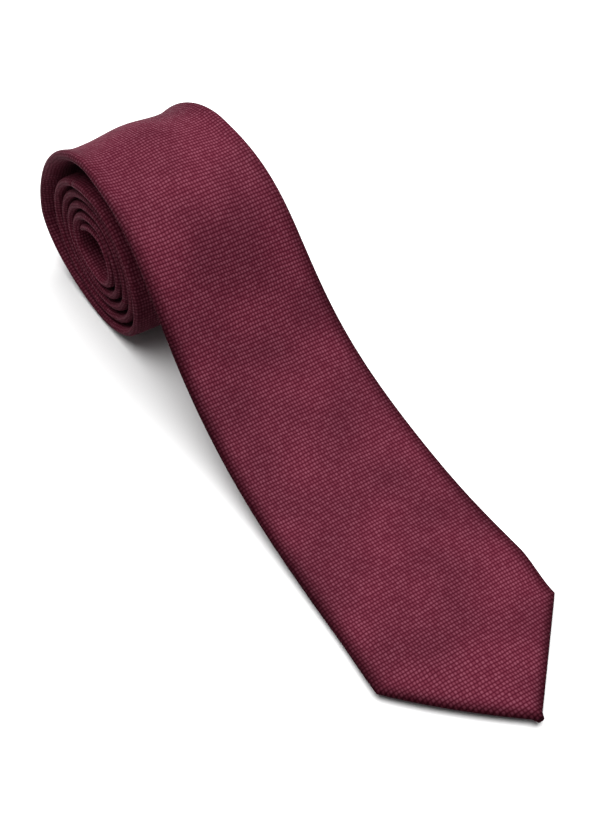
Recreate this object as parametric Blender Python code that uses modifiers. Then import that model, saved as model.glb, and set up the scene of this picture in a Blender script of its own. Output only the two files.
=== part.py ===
"""Rolled necktie: a pointed blade on the table that climbs over, round and into its own roll.

The tie is a folded tube of cloth round a soft interlining. Every piece is laid along one
centreline: s is the distance along the tie from the corners of the blade, x runs across
the tie and h stands off the middle of its thickness, towards the face of the cloth.
"""
import math

import bmesh
import bpy
import numpy as np
from mathutils import Vector

MM = 0.001

# Driving dimensions, in millimetres.
BLADE_WIDTH = 80.0
BLADE_TAPER = 0.079          # width lost for each millimetre of length
NECK_WIDTH = 34.0
TAIL_WIDTH = 44.0
THICKNESS = 3.7              # the whole folded tie
CLOTH = 0.55
GAP = 0.3                    # clearance between pieces that touch

# The blade's drape: flat on the table, then an S-curve up to the crown of the roll.
DRAPE_START = 12.0
CROWN_Y = 215.6
CROWN_Z = 76.5
DRAPE_TABLE_PULL = 168.9
DRAPE_CROWN_PULL = 79.5

# The roll: the outer turn's extents, and how far each extent closes in.
BACK_Y = 259.5
FRONT_Y = 182.6
WAIST_Z = 24.4
TURNS = 5.45
TOP_STEPS = (12.0, 5.15)     # first turn, later turns
BOTTOM_STEPS = (4.6, 4.3)
BACK_STEPS = (10.4, 4.6)
FRONT_STEP = 5.9
WAIST_RISE = 8.0
CROWN_DRIFT = (1.5, -0.6)
NEAR_EDGE_AT = (237.0, 310.0, 680.0)   # over the crown, round the outer turn, in the middle
NEAR_EDGE_X = (-30.6, -31.8, -29.6)

# Places along the tie, from the corners of the blade.
BLADE_POINT = 39.0
LIFT_LINE = 72.0
FRONT_TACK = 62.0
LABEL_AT = 172.0
KEEPER_AT = 150.0
NECK_SEAM = 480.0
TAIL_SEAM = 760.0
INTERLINING_JOIN = 610.0
TAIL_POINT = 21.0

# Folds and small pieces.
HEM = 12.0
SEAM_SLOT = 1.7              # between the two flaps, down the middle of the back
THREAD = 0.7
TIP_HALF_WIDTH = 2.4
TIPPING = 0.45
KEEPER_WIDTH = 16.0
KEEPER_LENGTH = 48.0
KEEPER_STANDOFF = 2.2
MAKER_LABEL = (44.0, 24.0)
CARE_LABEL = (15.0, 22.0)
LABEL = 0.5
TACK = (9.0, 1.6, 0.8)

STEPS_PER_TURN = 20
DRAPE_STEPS = 16
FOLD_STEPS = 3

BURGUNDY = (0.153, 0.027, 0.047, 1.0)
WINE_SATIN = (0.100, 0.014, 0.028, 1.0)
WOOL = (0.72, 0.67, 0.58, 1.0)
LABEL_BLACK = (0.02, 0.02, 0.022, 1.0)
LABEL_WHITE = (0.82, 0.82, 0.80, 1.0)
THREAD_RED = (0.13, 0.020, 0.038, 1.0)


def closing(turn, steps):
    """How far an extent has closed in, after one first step and then even ones."""
    return steps[0] * min(turn, 1.0) + steps[1] * max(turn - 1.0, 0.0)


def drape_point(t):
    """A point of the cubic curve from the table, at t = 0, to the crown, at t = 1."""
    low = THICKNESS / 2
    ys = (DRAPE_START, DRAPE_START + DRAPE_TABLE_PULL, CROWN_Y - DRAPE_CROWN_PULL, CROWN_Y)
    zs = (low, low, CROWN_Z, CROWN_Z)
    weights = ((1 - t) ** 3, 3 * (1 - t) ** 2 * t, 3 * (1 - t) * t ** 2, t ** 3)
    return (sum(w * y for w, y in zip(weights, ys)), sum(w * z for w, z in zip(weights, zs)))


def roll_point(turn):
    """A point of the roll: each turn is four quarter ellipses whose extents close in."""
    top = CROWN_Z - closing(turn, TOP_STEPS)
    bottom = THICKNESS / 2 + closing(max(turn - 0.5, 0.0), BOTTOM_STEPS)
    back = BACK_Y - closing(max(turn - 0.25, 0.0), BACK_STEPS)
    front = FRONT_Y + FRONT_STEP * max(turn - 0.75, 0.0)
    middle_y = CROWN_Y - closing(turn, CROWN_DRIFT)
    middle_z = WAIST_Z + WAIST_RISE * min(turn, 1.0)
    across = math.sin(2 * math.pi * turn)
    up = math.cos(2 * math.pi * turn)
    reach_y = back - middle_y if across > 0 else middle_y - front
    reach_z = top - middle_z if up > 0 else middle_z - bottom
    return (middle_y + reach_y * across, middle_z + reach_z * up)


class Centreline:
    """The middle of the tie's thickness, measured from the corners of the blade."""

    def __init__(self):
        flat = [(y, THICKNESS / 2) for y in np.linspace(-BLADE_POINT, DRAPE_START, 24)]
        drape = [drape_point(t) for t in np.linspace(0, 1, 241)]
        roll = [roll_point(t) for t in np.linspace(0, TURNS, 2401)]
        points = np.array(flat[:-1] + drape + roll[1:])
        lengths = np.linalg.norm(np.diff(points, axis=0), axis=1)
        self.s = np.concatenate([[0.0], np.cumsum(lengths)]) - BLADE_POINT
        self.y, self.z = points.T
        self.y = self.y - (self.y.min() + self.y.max() + THICKNESS / 2) / 2
        slopes = np.gradient(points, self.s, axis=0)
        self.slope_y, self.slope_z = (slopes / np.linalg.norm(slopes, axis=1)[:, None]).T
        crown = len(flat) - 1 + len(drape) - 1
        self.crown_s = self.s[crown]
        self.end = self.s[-1]
        turn_s = np.interp(np.arange(0, TURNS, 1 / STEPS_PER_TURN),
                           np.linspace(0, TURNS, 2401), self.s[crown:])
        drape_s = np.interp(np.linspace(0, 1, DRAPE_STEPS + 1)[:-1],
                            np.linspace(0, 1, 241), self.s[len(flat) - 1:crown + 1])
        breaks = [0.0, FRONT_TACK, LIFT_LINE, NECK_SEAM, INTERLINING_JOIN, TAIL_SEAM, self.end - TAIL_POINT]
        curve = [s for s in [*drape_s, *turn_s] if all(abs(s - b) > 1.5 for b in breaks)]
        self.natural = sorted(breaks + curve)

    def stations(self, start, end):
        """Places along the tie from start to end, the same ones for every piece."""
        inside = [s for s in self.natural if start + 1.5 < s < end - 1.5]
        return [start] + inside + [end]

    def width(self, s):
        """The tie's width: a pointed blade, a taper, an even neck and a flared tail."""
        if s < 0:
            return max(BLADE_WIDTH * (1 + s / BLADE_POINT), 2 * TIP_HALF_WIDTH)
        flare = (s - TAIL_SEAM) / (self.end - TAIL_POINT - TAIL_SEAM)
        if s > self.end - TAIL_POINT:
            return max(TAIL_WIDTH * (self.end - s) / TAIL_POINT, 2 * TIP_HALF_WIDTH)
        if s > TAIL_SEAM:
            return NECK_WIDTH + (TAIL_WIDTH - NECK_WIDTH) * flare
        return max(BLADE_WIDTH - BLADE_TAPER * s, NECK_WIDTH)

    def middle_x(self, s):
        """The tie is rolled with one edge almost flush, so its middle moves across."""
        if s <= self.crown_s:
            return 0.0
        edge = float(np.interp(s, NEAR_EDGE_AT, NEAR_EDGE_X))
        full = max(self.width(s), TAIL_WIDTH) if s > self.end - TAIL_POINT else self.width(s)
        return edge + full / 2

    def place(self, x, s, h):
        """The point at x across the tie, s along it and h off its middle, in metres."""
        y, z, dy, dz = (float(np.interp(s, self.s, v))
                        for v in (self.y, self.z, self.slope_y, self.slope_z))
        size = math.hypot(dy, dz)
        return ((self.middle_x(s) + x) * MM, (y - h * dz / size) * MM, (z + h * dy / size) * MM)


LINE = Centreline()
BACK_H = -(THICKNESS - CLOTH) / 2
LIFT_AXIS = Vector(LINE.place(0.0, LIFT_LINE, THICKNESS / 2))
FIXED = Vector((0.0, 0.0, 0.0))


def flap_edge(s):
    """Where a back flap ends, from the middle: at the seam, or open over the tipping."""
    half = LINE.width(s) / 2
    closed = SEAM_SLOT / 2
    if s < 0:
        return max(half - HEM, closed)
    if s < FRONT_TACK:
        open_by = 1 - s / FRONT_TACK
        return closed + (half - HEM - closed) * open_by
    return closed


def cloth_section(s):
    """The folded cloth's middle line as (x, h): flap, fold, face, fold and flap."""
    half = LINE.width(s) / 2 - CLOTH / 2
    radius = -BACK_H
    corner = max(half - radius, 0.3)
    edge = min(flap_edge(s), corner - 0.15)
    side = [(edge, BACK_H)]
    for i in range(FOLD_STEPS + 1):
        angle = math.pi * i / FOLD_STEPS - math.pi / 2
        side.append((corner + (half - corner) * math.cos(angle), radius * math.sin(angle)))
    return side + [(-x, h) for x, h in reversed(side)]


def material(name, colour, roughness):
    mat = bpy.data.materials.new(name)
    mat.use_nodes = True
    shader = mat.node_tree.nodes["Principled BSDF"]
    shader.inputs["Base Color"].default_value = colour
    shader.inputs["Roughness"].default_value = roughness
    shader.inputs["Metallic"].default_value = 0.0
    mat.diffuse_color = colour
    return mat


def collection(name):
    found = bpy.data.collections.new(name)
    bpy.context.scene.collection.children.link(found)
    return found


def mapped_grid(name, columns, rows, where, home, origin):
    """A Blender grid whose vertex (column, row) is moved to where(column, row)."""
    bm = bmesh.new()
    bmesh.ops.create_grid(bm, x_segments=columns, y_segments=rows, size=1.0)
    for vert in bm.verts:
        column = round((vert.co.x + 1) / 2 * columns)
        row = round((vert.co.y + 1) / 2 * rows)
        vert.co = Vector(where(column, row)) - origin
    mesh = bpy.data.meshes.new(name)
    bm.to_mesh(mesh)
    bm.free()
    obj = bpy.data.objects.new(name, mesh)
    obj.location = origin
    home.objects.link(obj)
    return obj


def thicken(obj, thickness_mm):
    solid = obj.modifiers.new("Thickness", "SOLIDIFY")
    solid.thickness = thickness_mm * MM
    solid.offset = 0.0
    solid.use_even_offset = True
    return obj


def shade(obj, mat):
    obj.data.materials.append(mat)
    for face in obj.data.polygons:
        face.use_smooth = True


def cloth_panel(name, start, end, mat, home, origin=FIXED):
    """One panel of the outer cloth, folded round the interlining."""
    stations = LINE.stations(start, end)
    sections = [cloth_section(s) for s in stations]

    def where(column, row):
        x, h = sections[row][column]
        return LINE.place(x, stations[row], h)

    obj = mapped_grid(name, len(sections[0]) - 1, len(stations) - 1, where, home, origin)
    thicken(obj, CLOTH)
    shade(obj, mat)
    return obj


def strip(name, stations, half_width, h, thickness, mat, home, origin=FIXED):
    """A flat strip at height h whose half width at s is half_width(s)."""
    def where(column, row):
        s = stations[row]
        return LINE.place(half_width(s) * (2 * column - 1), s, h)

    obj = mapped_grid(name, 1, len(stations) - 1, where, home, origin)
    thicken(obj, thickness)
    shade(obj, mat)
    return obj


def interlining(name, start, end, mat, home, origin=FIXED):
    """The soft filling inside the cloth tube."""
    thickness = THICKNESS - 2 * CLOTH - 2 * GAP
    inset = THICKNESS / 2 + GAP

    def half_width(s):
        return max(LINE.width(s) / 2 - inset, 0.6)

    return strip(name, LINE.stations(start, end), half_width, 0.0, thickness, mat, home, origin)


def front_tipping(mat, home):
    """The lining that shows between the open flaps behind the blade's point."""
    start = -BLADE_POINT + HEM + 6.0
    end = FRONT_TACK - 8.0

    def half_width(s):
        return max(flap_edge(s) - GAP - TIPPING, 0.5)

    return strip("front_tipping", LINE.stations(start, end), half_width,
                 BACK_H, TIPPING, mat, home, LIFT_AXIS)


def slip_stitch(start, end, mat, home):
    """The thread that closes the back seam, lying between the two flaps."""
    stations = LINE.stations(start, end)
    return strip("slip_stitch", stations, lambda s: THREAD / 2, BACK_H, THREAD * 0.7, mat, home)


def keeper_loop(mat, home):
    """A cloth loop on the back of the blade; its ends lie on the tie and its middle stands off."""
    half = KEEPER_LENGTH / 2
    low = -THICKNESS / 2 - GAP - CLOTH / 2
    profile = [(-half, 0), (-half + 7, 0), (-half + 11, 1), (half - 11, 1), (half - 7, 0), (half, 0)]

    def where(column, row):
        x, raised = profile[column]
        s = KEEPER_AT + KEEPER_WIDTH * (row / 2 - 0.5)
        return LINE.place(x, s, low - raised * KEEPER_STANDOFF)

    obj = mapped_grid("keeper_loop", len(profile) - 1, 2, where, home, FIXED)
    thicken(obj, CLOTH)
    shade(obj, mat)
    return obj


def flat_label(name, at, size, mat, home):
    """A blank woven label lying on the back of the tie."""
    h = -THICKNESS / 2 - GAP - LABEL / 2
    stations = [at + size[1] * part for part in (-0.5, -0.25, 0.0, 0.25, 0.5)]
    return strip(name, stations, lambda s: size[0] / 2, h, LABEL, mat, home)


def bar_tack(name, at, mat, home, origin=FIXED):
    """A bar of thread stitched across the seam where the flaps part."""
    h = -THICKNESS / 2 - GAP - TACK[2] / 2
    stations = [at - TACK[1] / 2, at + TACK[1] / 2]
    return strip(name, stations, lambda s: TACK[0] / 2, h, TACK[2], mat, home, origin)


def build():
    for obj in list(bpy.data.objects):
        bpy.data.objects.remove(obj, do_unlink=True)
    home = collection("necktie")
    cloth = material("burgundy_cloth", BURGUNDY, 0.62)
    cloth_keeper = material("keeper_cloth", BURGUNDY, 0.62)
    satin = material("tipping_satin", WINE_SATIN, 0.38)
    wool = material("interlining_wool", WOOL, 0.92)
    thread = material("silk_thread", THREAD_RED, 0.50)
    black = material("maker_label_satin", LABEL_BLACK, 0.45)
    white = material("care_label_satin", LABEL_WHITE, 0.55)

    tail_end = LINE.end
    tail_tack = tail_end - TAIL_POINT - 14.0
    seam_gap = GAP / 2

    # The free end of the blade, which lifts about the lift line.
    free_end = LIFT_LINE - seam_gap
    cloth_panel("blade_end", -BLADE_POINT, free_end, cloth, home, LIFT_AXIS)
    interlining("blade_end_interlining", -BLADE_POINT + 8.0, free_end, wool, home, LIFT_AXIS)
    front_tipping(satin, home)
    bar_tack("front_bar_tack", FRONT_TACK, thread, home, LIFT_AXIS)

    # The rest of the front panel, then the neck and tail panels inside the roll.
    cloth_panel("front_panel", LIFT_LINE + seam_gap, NECK_SEAM - seam_gap, cloth, home)
    cloth_panel("neck_panel", NECK_SEAM + seam_gap, TAIL_SEAM - seam_gap, cloth, home)
    cloth_panel("tail_panel", TAIL_SEAM + seam_gap, tail_end, cloth, home)
    interlining("front_interlining", LIFT_LINE + seam_gap, INTERLINING_JOIN - seam_gap, wool, home)
    interlining("tail_interlining", INTERLINING_JOIN + seam_gap, tail_end - 6.0, wool, home)
    slip_stitch(LIFT_LINE + seam_gap, tail_tack - 4.0, thread, home)
    bar_tack("tail_bar_tack", tail_tack, thread, home)
    keeper_loop(cloth_keeper, home)
    flat_label("maker_label", LABEL_AT + 6.0, MAKER_LABEL, black, home)
    flat_label("care_label", LABEL_AT + 34.0, CARE_LABEL, white, home)


build()
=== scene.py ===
"""The looks of the rolled necktie: woven cloth, folded edges, lining, stitches, floor and light."""

import math

import bpy
import numpy as np
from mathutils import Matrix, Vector

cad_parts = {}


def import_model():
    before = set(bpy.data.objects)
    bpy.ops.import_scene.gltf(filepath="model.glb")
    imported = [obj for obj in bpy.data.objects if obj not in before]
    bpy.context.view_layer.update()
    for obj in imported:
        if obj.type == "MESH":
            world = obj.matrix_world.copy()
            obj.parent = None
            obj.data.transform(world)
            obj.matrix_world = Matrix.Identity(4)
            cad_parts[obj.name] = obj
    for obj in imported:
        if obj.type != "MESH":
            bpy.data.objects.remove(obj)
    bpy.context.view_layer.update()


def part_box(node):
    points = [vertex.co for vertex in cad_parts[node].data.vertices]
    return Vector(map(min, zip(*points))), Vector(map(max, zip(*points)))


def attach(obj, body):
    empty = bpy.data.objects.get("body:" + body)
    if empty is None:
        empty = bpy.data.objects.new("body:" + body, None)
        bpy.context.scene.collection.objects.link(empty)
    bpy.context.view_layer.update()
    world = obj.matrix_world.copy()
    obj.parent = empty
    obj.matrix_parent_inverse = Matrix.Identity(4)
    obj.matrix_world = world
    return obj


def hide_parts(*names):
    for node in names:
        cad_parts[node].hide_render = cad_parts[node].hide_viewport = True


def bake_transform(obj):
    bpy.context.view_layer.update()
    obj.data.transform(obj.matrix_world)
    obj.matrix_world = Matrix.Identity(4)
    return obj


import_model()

MM = 0.001

# The tie's shape, in millimetres, as the CAD has it.
BLADE_WIDTH = 80.0
BLADE_TAPER = 0.079
NECK_WIDTH = 34.0
TAIL_WIDTH = 44.0
THICKNESS = 3.7
DRAPE_START = 12.0
CROWN_Y = 215.6
CROWN_Z = 76.5
DRAPE_TABLE_PULL = 168.9
DRAPE_CROWN_PULL = 79.5
BACK_Y = 259.5
FRONT_Y = 182.6
WAIST_Z = 24.4
TURNS = 5.45
TOP_STEPS = (12.0, 5.15)
BOTTOM_STEPS = (4.6, 4.3)
BACK_STEPS = (10.4, 4.6)
FRONT_STEP = 5.9
WAIST_RISE = 8.0
CROWN_DRIFT = (1.5, -0.6)
NEAR_EDGE_AT = (237.0, 310.0, 680.0)
NEAR_EDGE_X = (-30.6, -31.8, -29.6)
BLADE_POINT = 39.0
FRONT_TACK = 62.0
NECK_SEAM = 480.0
TAIL_SEAM = 760.0
TAIL_POINT = 21.0
HEM = 12.0

# How the real cloth departs from that even shape: finer cloth, tip and seam, and uneven edges.
CLOTH = 0.5
TIP_HALF_WIDTH = 1.2
SEAM_SLOT = 0.3
POINT_THICKNESS = 2.3
TAIL_THICKNESS = 2.6
CROWN_PLUMPNESS = 0.9
POINT_LIFT = 2.3
POINT_LIFT_OVER = (-15.0, 70.0)
POINT_REACH = 0.4
CORNER_DRAWN_IN = 0.078
HEM_FULLNESS = 0.24
NEAR_CORNER_FULLNESS = 0.022
NEAR_CORNER_FORWARD = 0.3
FAR_EDGE_LIFT = 2.0
FAR_EDGE_REACH = 5.9
NEAR_EDGE_LIFT = 2.0
NEAR_EDGE_REACH = 5.0
MIDDLE_LIFT = 1.5
MIDDLE_AT = 2.0
MIDDLE_REACH = 11.0
RIPPLE = 0.30
RIPPLE_ALONG = 15.0
RIPPLE_ACROSS = 24.0
RIPPLE_STARTS = (10.0, 60.0)
RIPPLE_ENDS = (380.0, 430.0)
CROWN_BEFORE = 20.0    # how far the crown's plump stretch reaches on each side of its top
CROWN_AFTER = 55.0

# The folded section, and how finely the cloth is divided.
SHOULDER = 1.5         # how far the fold reaches in from the edge, against its height
CREASE_DEPTH = 0.10
CREASE_ANGLE = 0.40
CREASE_WIDTH = 0.16
FACE_CROWN = 0.25
FOLD_POINTS = 16
FACE_POINTS = 26
FLAP_POINTS = 7
STATION = 2.2          # spacing of the cloth's rows along the tie
SEAM_GAP = 0.03        # half the space left where two panels are joined

# Places along the tie, measured from the blade's corners, and the small pieces.
LABEL_AT = 172.0
KEEPER_AT = 150.0
KEEPER_WIDTH = 16.0
KEEPER_LENGTH = 48.0
KEEPER_STANDOFF = 2.1
KEEPER_CLOTH = 0.8
INTERLINING_JOIN = 610.0
STITCH_PITCH = 9.0
STITCH_REACH = 1.1
STITCH_SLANT = 1.4
STITCH_THREAD = 0.16
TACK_BARS = 9
TACK_PITCH = 0.30
TACK_REACH = 4.4
TACK_THREAD = 0.17
MAKER_LABEL = (44.0, 24.0)
CARE_LABEL = (15.0, 22.0)
LABEL_CLOTH = 0.3
FILLING_SIDE_ROOM = 0.9
FILLING_BACK_ROOM = 0.2
TIPPING_CLOTH = 0.25
TIPPING_ROOM = 0.65
TIPPING_TUCK = 6.0     # how far past the tack the tipping's room runs under the closed flaps
LIFT_LINE = 72.0
BLEND_REACH = 16.0     # how far each side of the lift line the bend would reach; nothing here bends the cloth

# The weave: its pitch in millimetres, and the colours of its holes, threads and lit thread ends;
# the holes' colour carries painted shade and the thread ends' colour a painted highlight.
WEAVE_ACROSS = 1.23
WEAVE_ALONG = 1.52
WEAVE_HOLE_SHADE = (0.037, 0.0030, 0.0098)
WEAVE_BODY = (0.080, 0.0145, 0.0262)
WEAVE_END_HIGHLIGHT = (0.131, 0.0410, 0.0590)

# The painted shade along the folded edges, where the cloth rolls away from the light: its tint, its
# half width, and where it weakens.
PAINTED_FOLD_SHADE = (0.34, 0.24, 0.28)
FOLD_REACH = 3.8
FOLD_FADES = (150.0, 230.0)
FOLD_BAND_IN_ROLL = 0.35

# The studio.
FLOOR_TONE = 0.61
FLOOR_HALF_SIZE = 3.0
WORLD_LIGHT = 0.30
KEY_AT = (0.17, 0.17, 2.00)
KEY_AIM = (0.0, 0.0, 0.02)
KEY_SIZE = 3.1
KEY_POWER = 128.0
CAMERA_TARGET = (-0.0002, -0.0008, 0.0205)
CAMERA_AZIMUTH = -32.86
CAMERA_ELEVATION = 47.42
CAMERA_DISTANCE = 0.6641
CAMERA_LENS = 76.8


# ---------------------------------------------------------------- the tie's centreline

def closing(turn, steps):
    """How far the roll has closed in: one step for the first turn, another for each later one."""
    return steps[0] * min(turn, 1.0) + steps[1] * max(turn - 1.0, 0.0)


def drape_point(t):
    """The blade's climb from the table to the crown, as (y, z)."""
    low = THICKNESS / 2
    ys = (DRAPE_START, DRAPE_START + DRAPE_TABLE_PULL, CROWN_Y - DRAPE_CROWN_PULL, CROWN_Y)
    zs = (low, low, CROWN_Z, CROWN_Z)
    weights = ((1 - t) ** 3, 3 * (1 - t) ** 2 * t, 3 * (1 - t) * t ** 2, t ** 3)
    return (sum(w * y for w, y in zip(weights, ys)), sum(w * z for w, z in zip(weights, zs)))


def roll_point(turn):
    """The spiral from the crown inwards: quarter ellipses whose sides close in turn by turn."""
    top = CROWN_Z - closing(turn, TOP_STEPS)
    bottom = THICKNESS / 2 + closing(max(turn - 0.5, 0.0), BOTTOM_STEPS)
    back = BACK_Y - closing(max(turn - 0.25, 0.0), BACK_STEPS)
    front = FRONT_Y + FRONT_STEP * max(turn - 0.75, 0.0)
    middle_y = CROWN_Y - closing(turn, CROWN_DRIFT)
    middle_z = WAIST_Z + WAIST_RISE * min(turn, 1.0)
    across = math.sin(2 * math.pi * turn)
    up = math.cos(2 * math.pi * turn)
    reach_y = back - middle_y if across > 0 else middle_y - front
    reach_z = top - middle_z if up > 0 else middle_z - bottom
    return (middle_y + reach_y * across, middle_z + reach_z * up)


def centreline():
    """Distances, points and directions along the tie's middle, and the distance at the crown."""
    flat = [(y, THICKNESS / 2) for y in np.linspace(-BLADE_POINT, DRAPE_START, 24)]
    drape = [drape_point(t) for t in np.linspace(0, 1, 241)]
    roll = [roll_point(t) for t in np.linspace(0, TURNS, 2401)]
    points = np.array(flat[:-1] + drape + roll[1:])
    lengths = np.linalg.norm(np.diff(points, axis=0), axis=1)
    s = np.concatenate([[0.0], np.cumsum(lengths)]) - BLADE_POINT
    tip_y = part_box("blade_end")[0].y / MM
    points[:, 0] += tip_y - points[0, 0]
    slopes = np.gradient(points, s, axis=0)
    # A short running average takes the corners out of the direction, so the cloth bends smoothly.
    kernel = np.ones(9) / 9
    columns = [np.pad(column, 4, mode="edge") for column in slopes.T]
    slopes = np.stack([np.convolve(column, kernel, "valid") for column in columns], axis=1)
    slopes /= np.linalg.norm(slopes, axis=1)[:, None]
    return s, points, slopes, s[len(flat) - 1 + len(drape) - 1]


LINE_S, LINE_YZ, LINE_SLOPE, CROWN_S = centreline()
END = LINE_S[-1]


def width(s):
    """The tie's whole width at s, tapering to a blunt point at each end."""
    if s < 0:
        return max(BLADE_WIDTH * (1 + s / BLADE_POINT), 2 * TIP_HALF_WIDTH)
    if s > END - TAIL_POINT:
        return max(TAIL_WIDTH * (END - s) / TAIL_POINT, 2 * TIP_HALF_WIDTH)
    if s > TAIL_SEAM:
        part = (s - TAIL_SEAM) / (END - TAIL_POINT - TAIL_SEAM)
        return NECK_WIDTH + (TAIL_WIDTH - NECK_WIDTH) * part
    return max(BLADE_WIDTH - BLADE_TAPER * s, NECK_WIDTH)


def middle_x(s):
    """In the roll the near edge is kept almost flush, so the middle shifts as the tie narrows."""
    if s <= CROWN_S:
        return 0.0
    edge = float(np.interp(s, NEAR_EDGE_AT, NEAR_EDGE_X))
    full = TAIL_WIDTH if s > END - TAIL_POINT else width(s)
    return edge + full / 2


def smooth(value, low, high):
    """0 below low, 1 above high, with a soft start and end."""
    t = min(max((value - low) / (high - low), 0.0), 1.0)
    return t * t * (3 - 2 * t)


def crown_part(s, before, after):
    """1 over the crown, fading out over the given lengths before and after it."""
    start = CROWN_S - CROWN_BEFORE
    end = CROWN_S + CROWN_AFTER
    return smooth(s, start - before, start) * (1 - smooth(s, end, end + after))


def thickness(s):
    """Pressed thin at the blade's point and the tail, plump where the tie bends over the crown."""
    blade = POINT_THICKNESS + (THICKNESS - POINT_THICKNESS) * smooth(s, -BLADE_POINT, 70.0)
    tail = TAIL_THICKNESS + (THICKNESS - TAIL_THICKNESS) * smooth(END - s, 0.0, 60.0)
    return min(blade, tail) + CROWN_PLUMPNESS * crown_part(s, 60, 70)


def surface_wave(x, s):
    """How far the tie stands off its even shape: its edges lift where it bends over the crown."""
    half = width(s) / 2
    far = FAR_EDGE_LIFT * math.exp(-((half - x) / FAR_EDGE_REACH) ** 2)
    near = NEAR_EDGE_LIFT * math.exp(-((half + x) / NEAR_EDGE_REACH) ** 2)
    middle = MIDDLE_LIFT * math.exp(-((x - MIDDLE_AT) / MIDDLE_REACH) ** 2)
    crown = crown_part(s, 50, 55) * (far + near + middle)
    ripple = RIPPLE * math.sin(s / RIPPLE_ALONG + x / RIPPLE_ACROSS)
    return crown + ripple * smooth(s, *RIPPLE_STARTS) * (1 - smooth(s, *RIPPLE_ENDS))


def point_lift(s):
    """The blade's point curls up a little from the table."""
    return POINT_LIFT * (1 - smooth(s, *POINT_LIFT_OVER))


def trimmed(x, s):
    """The point is cut unevenly: one corner is drawn in, the other and its hem are full."""
    if x > 0:
        return x * (1 - CORNER_DRAWN_IN * (1 - smooth(s, 0.0, 24.0)))
    corner = NEAR_CORNER_FULLNESS * (1 - smooth(abs(s), 0.0, 30.0))
    return x * (1 + corner + HEM_FULLNESS * max(-s / BLADE_POINT, 0.0))


def place(x, s, h):
    """The point at x across the tie, s along it and h off its middle, in metres."""
    y, z = (float(np.interp(s, LINE_S, LINE_YZ[:, k])) for k in (0, 1))
    dy, dz = (float(np.interp(s, LINE_S, LINE_SLOPE[:, k])) for k in (0, 1))
    size = math.hypot(dy, dz)
    y -= POINT_REACH * max(-s / BLADE_POINT, 0.0)
    y -= NEAR_CORNER_FORWARD * (min(x, 0.0) / (BLADE_WIDTH / 2)) ** 2 * (1 - smooth(s, 0.0, 40.0))
    h += surface_wave(x, s) + point_lift(s)
    if s < CROWN_S + 130:
        # A thin stretch keeps its underside on the table; a plump one keeps its face in place.
        h -= abs(THICKNESS - thickness(s)) / 2
    across = middle_x(s) + trimmed(x, s)
    return (across * MM, (y - h * dz / size) * MM, (z + h * dy / size) * MM)


# ---------------------------------------------------------------- meshes

def mesh_object(name, verts, faces, uvs=None, smooth_faces=True):
    """A mesh object; uvs holds one place on the cloth, in millimetres, for each vertex."""
    mesh = bpy.data.meshes.new(name)
    mesh.from_pydata(verts, [], faces)
    if uvs is not None:
        layer = mesh.uv_layers.new(name="weave")
        for loop in mesh.loops:
            layer.data[loop.index].uv = uvs[loop.vertex_index]
    for face in mesh.polygons:
        face.use_smooth = smooth_faces
    obj = bpy.data.objects.new(name, mesh)
    bpy.context.scene.collection.objects.link(obj)
    return obj


def grid(name, rows):
    """An open surface through rows of (point, uv); every row has as many points."""
    across = len(rows[0])
    verts = [point for row in rows for point, uv in row]
    uvs = [uv for row in rows for point, uv in row]
    faces = []
    for r in range(len(rows) - 1):
        for c in range(across - 1):
            a = r * across + c
            faces.append((a, a + across, a + across + 1, a + 1))
    return mesh_object(name, verts, faces, uvs)


def lofts(name, bundles):
    """Closed solids, each through a list of rings of (point, uv), as one mesh."""
    verts, uvs, faces = [], [], []
    for rings in bundles:
        first = len(verts)
        around = len(rings[0])
        for ring in rings:
            verts += [point for point, uv in ring]
            uvs += [uv for point, uv in ring]
        for r in range(len(rings) - 1):
            for c in range(around):
                a = first + r * around + c
                b = first + r * around + (c + 1) % around
                faces.append((a, b, b + around, a + around))
        last = first + (len(rings) - 1) * around
        faces.append(tuple(first + c for c in reversed(range(around))))
        faces.append(tuple(last + c for c in range(around)))
    return mesh_object(name, verts, faces, uvs)


def thicken(obj, amount):
    """Give an open surface the thickness of its cloth, half to each side."""
    solid = obj.modifiers.new("Thickness", "SOLIDIFY")
    solid.thickness = amount * MM
    solid.offset = 0.0
    return obj


def rows_between(start, end, step=STATION, extra=()):
    """Evenly spaced stations from start to end, with any extra ones that must be there."""
    count = max(int(round((end - start) / step)), 1)
    return sorted(set(float(s) for s in np.linspace(start, end, count + 1)) | set(extra))


# ---------------------------------------------------------------- the folded cloth

def flap_edge(s):
    """How far from the middle each back flap ends: open behind the point, then closed."""
    half = width(s) / 2
    closed = SEAM_SLOT / 2
    if s < 0:
        return max(half - HEM, closed)
    if s < FRONT_TACK:
        return closed + (half - HEM - closed) * (1 - s / FRONT_TACK)
    return closed


def rise(s):
    """From the tie's middle to the middle of the cloth on its face or its back."""
    return (thickness(s) - CLOTH) / 2


def section(s):
    """The folded cloth's middle line at s, as (x, h, u): u is the distance round the cloth."""
    half = width(s) / 2 - CLOTH / 2
    high = rise(s)
    bend = min(high * SHOULDER, half * 0.8)
    corner = half - bend
    edge = min(flap_edge(s), corner - 0.1)
    side = [(edge + (corner - edge) * i / FLAP_POINTS, -high) for i in range(FLAP_POINTS)]
    for i in range(FOLD_POINTS):
        angle = math.pi * i / (FOLD_POINTS - 1) - math.pi / 2
        crease = 1 - CREASE_DEPTH * math.exp(-((angle - CREASE_ANGLE) / CREASE_WIDTH) ** 2)
        side.append((corner + bend * math.cos(angle) * crease, high * math.sin(angle)))
    face = []
    for i in range(1, FACE_POINTS):
        x = corner * (1 - 2 * i / FACE_POINTS)
        face.append((x, high + FACE_CROWN * (1 - (x / corner) ** 2)))
    line = side + face + [(-x, h) for x, h in reversed(side)]
    around = [0.0]
    for (x0, h0), (x1, h1) in zip(line, line[1:]):
        around.append(around[-1] + math.hypot(x1 - x0, h1 - h0))
    return [(x, h, u - around[-1] / 2) for (x, h), u in zip(line, around)]


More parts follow.
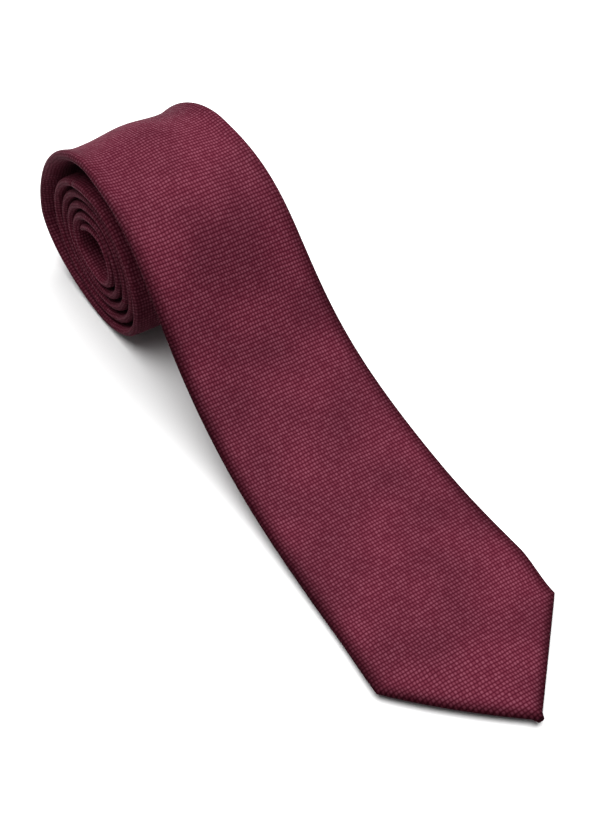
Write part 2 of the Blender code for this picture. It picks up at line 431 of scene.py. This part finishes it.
def cloth_panel(name, start, end, extra=()):
    """A panel of the outer cloth; also gives its cut width, length and flat area in metres."""
    stations = rows_between(start, end, extra=extra)
    sections = [section(s) for s in stations]
    rows = [[(place(x, s, h), (u, s)) for x, h, u in line] for s, line in zip(stations, sections)]
    spans = [(line[-1][2] - line[0][2]) * MM for line in sections]
    strips = zip(spans, spans[1:], stations, stations[1:])
    area = sum((a + b) / 2 * (t - s) * MM for a, b, s, t in strips)
    obj = thicken(grid(name, rows), CLOTH)
    return obj, (max(spans), (end - start) * MM), area


# ---------------------------------------------------------------- the small pieces' shapes

def filling(name, start, end):
    """The brushed interlining inside the cloth, with rounded edges; also its size and flat area."""
    stations = rows_between(start, end, 4.0)
    rings = []
    area = 0.0
    for s in stations:
        half = max(width(s) / 2 - rise(s) - FILLING_SIDE_ROOM, 0.8)
        back_room = TIPPING_ROOM if s < FRONT_TACK + TIPPING_TUCK else FILLING_BACK_ROOM
        low = -rise(s) + CLOTH / 2 + back_room
        high = rise(s) - CLOTH / 2 - 0.15
        ring = []
        for i in range(16):
            angle = -2 * math.pi * (i + 0.5) / 16
            x = half * math.copysign(abs(math.cos(angle)) ** 0.25, math.cos(angle))
            part = math.copysign(abs(math.sin(angle)) ** 0.5, math.sin(angle))
            h = (low + high) / 2 + (high - low) / 2 * part
            ring.append((place(x, s, h), (x, s)))
        rings.append(ring)
        area += 2 * half * MM
    area *= (end - start) * MM / len(stations)
    widest = max(2 * (width(s) / 2 - rise(s) - FILLING_SIDE_ROOM) for s in stations)
    return lofts(name, [rings]), (widest * MM, (end - start) * MM), area


def tipping_panel():
    """The satin lining behind the blade's point, tucked under the flaps; also its size and area."""
    tuck = 3.0
    start = -BLADE_POINT + HEM - 1.0
    end = FRONT_TACK + TIPPING_TUCK - 3.0
    rows = []
    area = 0.0
    stations = rows_between(start, end, 2.0)
    for s in stations:
        half = max(min(flap_edge(s) + tuck, width(s) / 2 - tuck), 0.8)
        row = []
        for i in range(13):
            part = 2 * i / 12 - 1
            sag = 0.18 * (1.0 - part ** 4)
            h = -rise(s) + CLOTH / 2 + 0.28 - sag
            row.append((place(half * part, s, h), (half * part, s)))
        rows.append(row)
        area += 2 * half * MM * (end - start) * MM / len(stations)
    obj = thicken(grid("satin_tipping", rows), TIPPING_CLOTH)
    return obj, (2 * (flap_edge(0.0) + tuck) * MM, (end - start) * MM), area


def keeper_band():
    """The cloth loop behind the blade, sewn down at both ends and free in the middle."""
    half = KEEPER_LENGTH / 2
    rows = []
    for j in range(13):
        across = j / 12 - 0.5
        s = KEEPER_AT + KEEPER_WIDTH * across
        plump = 0.25 * (1 - (2 * across) ** 6)
        row = []
        for i in range(41):
            x = half * (2 * i / 40 - 1)
            free = 1 - smooth(abs(x), half - 10.0, half - 4.0)
            h = -thickness(s) / 2 - 0.60 - free * KEEPER_STANDOFF - plump
            row.append((place(x, s, h), (x, s)))
        rows.append(row)
    return thicken(grid("keeper_band", rows), KEEPER_CLOTH)


def label(name, at, size):
    """A woven label lying on the back, its corners a little lifted."""
    rows = []
    for j in range(13):
        s = at + size[1] * (j / 12 - 0.5)
        row = []
        for i in range(17):
            part = 2 * i / 16 - 1
            lift = 0.35 * abs(part * (2 * j / 12 - 1)) ** 5
            h = -thickness(s) / 2 - 0.38 - lift
            row.append((place(size[0] / 2 * part, s, h), (size[0] / 2 * part, s - at)))
        rows.append(row)
    return thicken(grid(name, rows), LABEL_CLOTH)


def thread(path, radius, sides=8):
    """Rings round a path of points in the tie's own (x, s, h)."""
    rings = []
    run = 0.0
    for i, (x, s, h) in enumerate(path):
        before = Vector(path[max(i - 1, 0)])
        after = Vector(path[min(i + 1, len(path) - 1)])
        along = (after - before).normalized()
        side = along.cross(Vector((0, 0, 1))).normalized()
        up = side.cross(along)
        end = 0.45 if i in (0, len(path) - 1) else 1.0
        ring = []
        for k in range(sides):
            angle = -2 * math.pi * k / sides
            off = (side * math.cos(angle) + up * math.sin(angle)) * radius * end
            ring.append((place(x + off.x, s + off.y, h + off.z), (radius * angle, run)))
        run += (after - Vector((x, s, h))).length
        rings.append(ring)
    return rings


def back_thread(x0, s0, x1, s1, radius, stand=0.12, steps=6):
    """A thread over the back of the tie from one point to another, sunk in at both ends."""
    path = []
    for i in range(steps + 1):
        part = i / steps
        s = s0 + (s1 - s0) * part
        arch = math.sin(math.pi * part) ** 0.5
        h = -thickness(s) / 2 + 0.20 - (0.20 + stand + radius * 0.6) * arch
        path.append((x0 + (x1 - x0) * part, s, h))
    return thread(path, radius)


def bar_tack(name, at):
    """Thread wound over and over across the place where the flaps part."""
    bars = []
    for i in range(TACK_BARS):
        s = at + (i - TACK_BARS // 2) * TACK_PITCH
        reach = TACK_REACH - 0.25 * (i % 3)
        slant = 0.12 * (-1) ** i
        stand = 0.10 + 0.05 * (i % 2)
        bars.append(back_thread(-reach, s, reach, s + slant, TACK_THREAD, stand))
    return lofts(name, bars)


def slip_stitches(start, end):
    """The hand stitches that close the back seam, each a short slanting thread."""
    count = int((end - start) / STITCH_PITCH)
    stitches = []
    for i in range(count):
        s = start + (i + 0.5) * STITCH_PITCH
        start_s, end_s = s - STITCH_SLANT, s + STITCH_SLANT
        stitches.append(back_thread(-STITCH_REACH, start_s, STITCH_REACH, end_s, STITCH_THREAD))
    return lofts("slip_stitches", stitches)


# ---------------------------------------------------------------- materials

class Nodes:
    """A material's node tree, with short names for building it."""

    def __init__(self, name):
        self.material = bpy.data.materials.new(name)
        self.material.use_nodes = True
        self.tree = self.material.node_tree
        self.shader = self.tree.nodes["Principled BSDF"]

    def node(self, kind, **values):
        made = self.tree.nodes.new(kind)
        for key, value in values.items():
            setattr(made, key, value)
        return made

    def link(self, source, target):
        self.tree.links.new(source, target)

    def set(self, **values):
        """Set sockets of the shader by name, with _ for a space."""
        for key, value in values.items():
            self.shader.inputs[key.replace("_", " ")].default_value = value

    def math(self, operation, a, b=None):
        made = self.node("ShaderNodeMath", operation=operation)
        for socket, value in zip(made.inputs, (a, b)):
            if value is None:
                continue
            if isinstance(value, (int, float)):
                socket.default_value = value
            else:
                self.link(value, socket)
        return made.outputs[0]

    def ramp(self, factor, stops):
        """A colour ramp with stops given as (position, colour)."""
        made = self.node("ShaderNodeValToRGB")
        elements = made.color_ramp.elements
        while len(elements) < len(stops):
            elements.new(0.5)
        for element, (position, colour) in zip(elements, stops):
            element.position = position
            element.color = (*colour, 1.0)
        self.link(factor, made.inputs[0])
        return made.outputs[0]

    def times(self, a, b):
        """Two colours multiplied."""
        made = self.node("ShaderNodeMix", data_type="RGBA", blend_type="MULTIPLY")
        made.inputs["Factor"].default_value = 1.0
        self.link(a, made.inputs[6])
        self.link(b, made.inputs[7])
        return made.outputs[2]

    def noise(self, vector, scale, detail=2.0):
        made = self.node("ShaderNodeTexNoise")
        made.inputs["Scale"].default_value = scale
        made.inputs["Detail"].default_value = detail
        self.link(vector, made.inputs["Vector"])
        return made.outputs["Fac"]

    def cloth_place(self):
        """The place on the cloth in millimetres, as (vector, across, along)."""
        uv = self.node("ShaderNodeUVMap", uv_map="weave").outputs[0]
        parts = self.node("ShaderNodeSeparateXYZ")
        self.link(uv, parts.inputs[0])
        return uv, parts.outputs[0], parts.outputs[1]

    def ridges(self, distance, pitch):
        """0 in each groove and 1 on each ridge."""
        angle = self.math("MULTIPLY", distance, math.pi / pitch)
        return self.math("ABSOLUTE", self.math("SINE", angle))

    def bump(self, height, strength, distance_mm):
        made = self.node("ShaderNodeBump")
        made.inputs["Strength"].default_value = strength
        made.inputs["Distance"].default_value = distance_mm * MM
        self.link(height, made.inputs["Height"])
        self.link(made.outputs[0], self.shader.inputs["Normal"])


def fold_shade_band(n, across, along):
    """The mask of the painted shade: 1 along the tie's folded edges, fading out on both sides of
    the fold.
    """
    point = n.math("MULTIPLY", n.math("ADD", along, BLADE_POINT), BLADE_WIDTH / 2 / BLADE_POINT)
    blade = n.math("SUBTRACT", BLADE_WIDTH / 2, n.math("MULTIPLY", along, BLADE_TAPER / 2))
    half = n.math("MINIMUM", point, n.math("MAXIMUM", blade, NECK_WIDTH / 2))
    off = n.math("DIVIDE", n.math("SUBTRACT", n.math("ABSOLUTE", across), half), FOLD_REACH)
    band = n.math("EXPONENT", n.math("MULTIPLY", n.math("MULTIPLY", off, off), -1.0))
    fading = n.node("ShaderNodeMapRange", interpolation_type="SMOOTHSTEP")
    n.link(along, fading.inputs["Value"])
    for socket, value in zip(list(fading.inputs)[1:5], (*FOLD_FADES, 1.0, FOLD_BAND_IN_ROLL)):
        socket.default_value = value
    return n.math("MULTIPLY", band, fading.outputs["Result"])


def weave_counts(n, uv, across, along):
    """Columns and rows counted over the cloth; they wander, and each row slips against the next."""
    wander = n.math("MULTIPLY", n.noise(uv, 0.08), 1.2)
    row = n.math("ADD", n.math("DIVIDE", along, WEAVE_ALONG), n.math("MULTIPLY", wander, -0.7))
    slip = n.node("ShaderNodeTexWhiteNoise", noise_dimensions="1D")
    n.link(n.math("FLOOR", row), slip.inputs["W"])
    column = n.math("ADD", n.math("DIVIDE", across, WEAVE_ACROSS), wander)
    column = n.math("ADD", column, n.math("MULTIPLY", slip.outputs["Value"], 0.30))
    return column, row


def thread_ends(n, column, row):
    """The height of each thread end, no two quite alike, with 0 in the holes between them."""
    floats = n.math("ADD", n.math("MULTIPLY", n.ridges(column, 1.0), 0.82), 0.18)
    ends = n.math("MULTIPLY", floats, n.ridges(row, 1.0))
    cell = n.node("ShaderNodeCombineXYZ")
    n.link(n.math("FLOOR", column), cell.inputs[0])
    n.link(n.math("FLOOR", row), cell.inputs[1])
    chance = n.node("ShaderNodeTexWhiteNoise", noise_dimensions="3D")
    n.link(cell.outputs[0], chance.inputs["Vector"])
    lively = n.math("ADD", n.math("MULTIPLY", chance.outputs["Value"], 0.45), 0.70)
    return n.math("MULTIPLY", n.math("POWER", ends, 0.8), lively)


def woven_cloth(name):
    """Basket-woven silk: rows of soft thread ends with dark holes between them, with painted shade
    in the holes, on soft patches and along the folded edges, and a painted highlight on the thread
    ends.
    """
    n = Nodes(name)
    uv, across, along = n.cloth_place()
    height = thread_ends(n, *weave_counts(n, uv, across, along))
    fibres = n.math("ADD", n.math("MULTIPLY", n.noise(uv, 2.6, 3.0), 0.5), 0.75)
    tone = n.math("MULTIPLY", height, fibres)
    white = (1.0, 1.0, 1.0)
    # Colour by thread height: the threads' own colour, with painted shade in the holes and a
    # painted highlight on the raised ends.
    threads = n.ramp(tone, [(0.0, WEAVE_HOLE_SHADE), (0.45, WEAVE_BODY), (1.0, WEAVE_END_HIGHLIGHT)])
    # Soft darker patches: painted shade standing in for the cloth's uneven sheen.
    shade_patches = n.ramp(n.noise(uv, 0.030, 1.0), [(0.36, (0.82, 0.84, 0.84)), (0.62, white)])
    # Painted shade along the folded edges, darker where the cloth rolls over.
    fold_painted_shade = n.ramp(fold_shade_band(n, across, along), [(0.0, white), (1.0, PAINTED_FOLD_SHADE)])
    n.link(n.times(n.times(threads, shade_patches), fold_painted_shade), n.shader.inputs["Base Color"])
    n.link(n.math("ADD", n.math("MULTIPLY", height, -0.16), 0.66), n.shader.inputs["Roughness"])
    n.bump(tone, 0.55, 0.28)
    n.set(Sheen_Weight=0.04, Sheen_Roughness=0.35, Sheen_Tint=(0.75, 0.42, 0.48, 1.0),
          Specular_IOR_Level=0.02)
    return n.material


def satin(name, colour, painted_shine):
    """Lining satin: long floats in fine slanting lines, with a soft shine across them painted into
    the colour.
    """
    n = Nodes(name)
    uv, across, along = n.cloth_place()
    slant = n.math("ADD", n.math("MULTIPLY", across, 0.45), along)
    lines = n.ridges(slant, 0.55)
    slubs = n.noise(uv, 0.5, 3.0)
    tone = n.math("ADD", n.math("MULTIPLY", lines, 0.6), n.math("MULTIPLY", slubs, 0.4))
    # The lighter colour on the lines is painted shine, mixed with the slubs' own unevenness.
    n.link(n.ramp(tone, [(0.1, colour), (0.9, painted_shine)]), n.shader.inputs["Base Color"])
    n.link(n.math("ADD", n.math("MULTIPLY", slubs, 0.2), 0.38), n.shader.inputs["Roughness"])
    n.bump(tone, 0.3, 0.08)
    n.set(Specular_IOR_Level=0.10)
    return n.material


def brushed_wool(name):
    """Interlining: a loose plain weave under a raised nap."""
    n = Nodes(name)
    uv, across, along = n.cloth_place()
    mesh = n.math("MULTIPLY", n.ridges(across, 1.1), n.ridges(along, 1.3))
    nap = n.noise(uv, 1.6, 6.0)
    tone = n.math("ADD", n.math("MULTIPLY", mesh, 0.4), n.math("MULTIPLY", nap, 0.6))
    colour = n.ramp(tone, [(0.1, (0.52, 0.46, 0.37)), (0.8, (0.80, 0.76, 0.68))])
    n.link(colour, n.shader.inputs["Base Color"])
    n.link(n.math("ADD", n.math("MULTIPLY", nap, 0.1), 0.85), n.shader.inputs["Roughness"])
    n.bump(tone, 0.8, 0.4)
    n.set(Sheen_Weight=0.4)
    return n.material


def silk_thread(name):
    """Sewing thread: two plies twisted round each other."""
    n = Nodes(name)
    _, around, along = n.cloth_place()
    twist = n.ridges(n.math("ADD", n.math("MULTIPLY", around, 0.6), along), 0.55)
    colour = n.ramp(twist, [(0.0, (0.050, 0.003, 0.010)), (1.0, (0.22, 0.040, 0.065))])
    n.link(colour, n.shader.inputs["Base Color"])
    n.link(n.math("ADD", n.math("MULTIPLY", twist, -0.15), 0.50), n.shader.inputs["Roughness"])
    n.bump(twist, 0.7, 0.1)
    return n.material


def label_satin(name, ground, border, size):
    """Woven label: fine ribs, a plain border line and no lettering."""
    n = Nodes(name)
    _, across, along = n.cloth_place()
    ribs = n.ridges(along, 0.40)
    weft = n.ridges(n.math("ADD", across, n.math("MULTIPLY", along, 0.5)), 0.5)
    in_x = n.math("SUBTRACT", size[0] / 2 - 1.9, n.math("ABSOLUTE", across))
    in_y = n.math("SUBTRACT", size[1] / 2 - 1.9, n.math("ABSOLUTE", along))
    nearest = n.math("ABSOLUTE", n.math("MINIMUM", in_x, in_y))
    line = n.math("LESS_THAN", nearest, 0.28)
    colour = n.node("ShaderNodeMix", data_type="RGBA")
    n.link(line, colour.inputs["Factor"])
    colour.inputs[6].default_value = (*ground, 1.0)
    colour.inputs[7].default_value = (*border, 1.0)
    relief = n.math("ADD", n.math("MULTIPLY", ribs, 0.6), n.math("MULTIPLY", weft, 0.4))
    shade = n.ramp(relief, [(0.0, (0.75, 0.75, 0.75)), (1.0, (1.0, 1.0, 1.0))])
    n.link(n.times(colour.outputs[2], shade), n.shader.inputs["Base Color"])
    n.link(n.math("ADD", n.math("MULTIPLY", weft, -0.15), 0.65), n.shader.inputs["Roughness"])
    n.bump(n.math("ADD", relief, line), 0.4, 0.06)
    n.set(Specular_IOR_Level=0.05)
    return n.material


# ---------------------------------------------------------------- the tie

def finish(obj, mat, slot_name, body, *nodes):
    """Give a piece its material, hide the CAD nodes that it stands for, and attach it to its body
    if it has one; slot_name is not used.
    """
    obj.data.materials.append(mat)
    if nodes:
        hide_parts(*nodes)
    if body:
        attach(obj, body)


def lift_blend(obj):
    """Bake the piece's transform into its mesh; the ends of a bend about the lift line are worked
    out, but nothing bends the piece.
    """
    start = Vector(place(0.0, LIFT_LINE - BLEND_REACH, 0.0))
    end = Vector(place(0.0, LIFT_LINE + BLEND_REACH, 0.0))
    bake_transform(obj)


def outer_cloth(weave):
    """The three panels of woven cloth, folded to the back of the tie."""
    corners = (0.0, FRONT_TACK)
    blade, flat, area = cloth_panel("blade_cloth", -BLADE_POINT, NECK_SEAM - SEAM_GAP, corners)
    finish(blade, weave, "burgundy_cloth", None, "blade_end", "front_panel")
    lift_blend(blade)

    neck, flat, area = cloth_panel("neck_cloth", NECK_SEAM + SEAM_GAP, TAIL_SEAM - SEAM_GAP)
    finish(neck, weave, "burgundy_cloth", "roll", "neck_panel")

    tail, flat, area = cloth_panel("tail_cloth", TAIL_SEAM + SEAM_GAP, END, (END - TAIL_POINT,))
    finish(tail, weave, "burgundy_cloth", "roll", "tail_panel")


def interlinings():
    """The brushed wool inside the cloth, in two lengths."""
    wool = brushed_wool("brushed_wool")
    front, flat, area = filling("front_filling", -BLADE_POINT + 9.0, INTERLINING_JOIN - SEAM_GAP)
    finish(front, wool, "interlining_wool", None, "blade_end_interlining", "front_interlining")
    lift_blend(front)

    tail, flat, area = filling("tail_filling", INTERLINING_JOIN + SEAM_GAP, END - 7.0)
    finish(tail, wool, "interlining_wool", "roll", "tail_interlining")


def tipping():
    lining, flat, area = tipping_panel()
    wine = satin("wine_satin", (0.045, 0.003, 0.010), (0.100, 0.012, 0.024))
    finish(lining, wine, "tipping_satin", "free_end", "front_tipping")


def keeper(weave):
    band = keeper_band()
    finish(band, weave, "keeper_cloth", "roll", "keeper_loop")


def maker_label():
    blank = label("maker_label_blank", LABEL_AT + 6.0, MAKER_LABEL)
    black = label_satin("black_label", (0.016, 0.016, 0.018), (0.30, 0.27, 0.22), MAKER_LABEL)
    finish(blank, black, "maker_label_satin", "roll", "maker_label")


def care_label():
    blank = label("care_label_blank", LABEL_AT + 34.0, CARE_LABEL)
    white = label_satin("white_label", (0.80, 0.80, 0.78), (0.62, 0.62, 0.60), CARE_LABEL)
    finish(blank, white, "care_label_satin", "roll", "care_label")


def threads():
    """The two tacks and the row of hand stitches between them."""
    silk = silk_thread("twisted_silk")
    tail_tack = END - TAIL_POINT - 14.0
    front_bars = bar_tack("front_tack_threads", FRONT_TACK)
    finish(front_bars, silk, "silk_thread", "free_end", "front_bar_tack")
    tail_bars = bar_tack("tail_tack_threads", tail_tack)
    finish(tail_bars, silk, "silk_thread", "roll", "tail_bar_tack")
    stitches = slip_stitches(LIFT_LINE + BLEND_REACH, tail_tack - 4.0)
    finish(stitches, silk, "silk_thread", "roll", "slip_stitch")


# ---------------------------------------------------------------- floor, light and camera

def floor():
    size = FLOOR_HALF_SIZE
    base = -0.0001
    verts = [(-size, -size, base), (size, -size, base), (size, size, base), (-size, size, base)]
    obj = mesh_object("floor", verts, [(0, 1, 2, 3)], smooth_faces=False)
    n = Nodes("white_paper")
    tone = (FLOOR_TONE, FLOOR_TONE, FLOOR_TONE, 1.0)
    n.set(Base_Color=tone, Roughness=0.9, Specular_IOR_Level=0.1)
    obj.data.materials.append(n.material)


def key_light():
    """One big round soft light, almost overhead."""
    data = bpy.data.lights.new("key", "AREA")
    data.shape = "DISK"
    data.size = KEY_SIZE
    data.energy = KEY_POWER
    obj = bpy.data.objects.new("key", data)
    obj.location = KEY_AT
    obj.rotation_euler = (Vector(KEY_AIM) - Vector(KEY_AT)).to_track_quat("-Z", "Y").to_euler()
    bpy.context.scene.collection.objects.link(obj)


def world():
    """Plain white light from all round."""
    made = bpy.data.worlds.new("studio")
    made.use_nodes = True
    background = made.node_tree.nodes["Background"]
    background.inputs["Color"].default_value = (1.0, 1.0, 1.0, 1.0)
    background.inputs["Strength"].default_value = WORLD_LIGHT
    bpy.context.scene.world = made


def camera():
    azimuth = math.radians(CAMERA_AZIMUTH)
    elevation = math.radians(CAMERA_ELEVATION)
    away = Vector((math.sin(azimuth) * math.cos(elevation),
                   -math.cos(azimuth) * math.cos(elevation), math.sin(elevation)))
    data = bpy.data.cameras.new("camera")
    data.lens = CAMERA_LENS
    data.clip_start = 0.01
    obj = bpy.data.objects.new("camera", data)
    obj.location = Vector(CAMERA_TARGET) + CAMERA_DISTANCE * away
    obj.rotation_euler = (-away).to_track_quat("-Z", "Y").to_euler()
    bpy.context.scene.collection.objects.link(obj)
    bpy.context.scene.camera = obj


burgundy = woven_cloth("burgundy_weave")
outer_cloth(burgundy)
interlinings()
tipping()
keeper(burgundy)
maker_label()
care_label()
threads()

floor()
world()
key_light()
camera()
bpy.context.scene.view_settings.view_transform = "Standard"
bpy.context.scene.view_settings.look = "Medium High Contrast"
